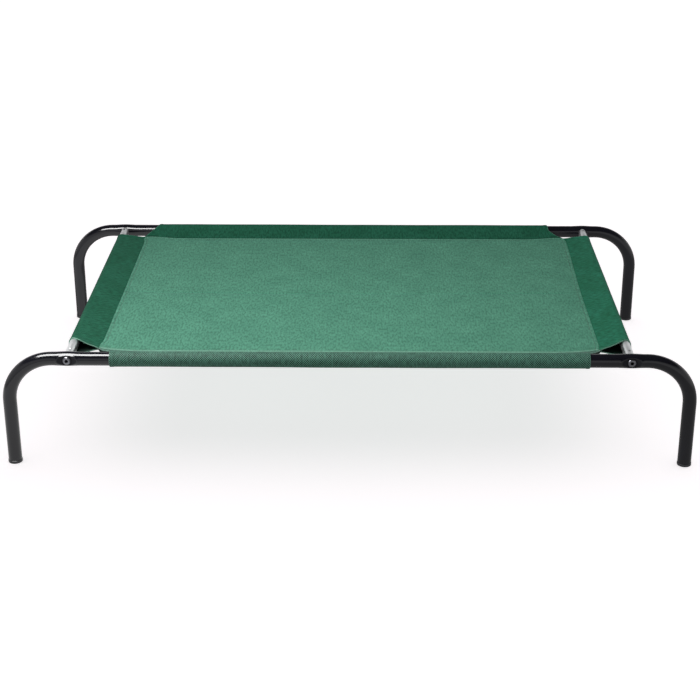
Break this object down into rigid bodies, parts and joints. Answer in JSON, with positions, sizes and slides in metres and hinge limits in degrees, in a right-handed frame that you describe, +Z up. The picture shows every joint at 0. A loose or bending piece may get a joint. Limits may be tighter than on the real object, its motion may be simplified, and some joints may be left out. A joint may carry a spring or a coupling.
{
  "type": "raised pet bed",
  "caption": "Raised pet bed: a green mesh sling stretched by stitched sleeves over bent black tube side frames joined by bolted steel cross tubes.",
  "frame": {"origin": "on the floor under the middle of the bed, where the overall box's base has its centre", "axes": "+X along the bed's length, +Y towards its rear side frame, +Z up"},
  "size_m": [1.101, 0.653, 0.1935],
  "materials": {
    "powder_coated_steel": "gloss black powder coat",
    "zinc_plated_steel": "bright zinc plate",
    "insert_steel": "turned, zinc plated",
    "black_bolt_steel": "black oxide, satin",
    "cap_plastic": "moulded, matt black",
    "panel_cloth": "woven mesh, single layer",
    "sleeve_cloth": "woven mesh, double layer"
  },
  "bodies": {
    "root": {"front_side_frame": "powder_coated_steel", "rear_side_frame": "powder_coated_steel", "left_cross_tube": "zinc_plated_steel", "right_cross_tube": "zinc_plated_steel", "sling_panel": "panel_cloth", "front_sleeve": "sleeve_cloth", "rear_sleeve": "sleeve_cloth", "left_sleeve": "sleeve_cloth", "right_sleeve": "sleeve_cloth", "front_left_insert": "insert_steel", "front_left_bolt": "black_bolt_steel", "front_left_foot_cap": "cap_plastic", "front_right_insert": "insert_steel", "front_right_bolt": "black_bolt_steel", "front_right_foot_cap": "cap_plastic", "rear_left_insert": "insert_steel", "rear_left_bolt": "black_bolt_steel", "rear_left_foot_cap": "cap_plastic", "rear_right_insert": "insert_steel", "rear_right_bolt": "black_bolt_steel", "rear_right_foot_cap": "cap_plastic"}
  },
  "joints": []
}
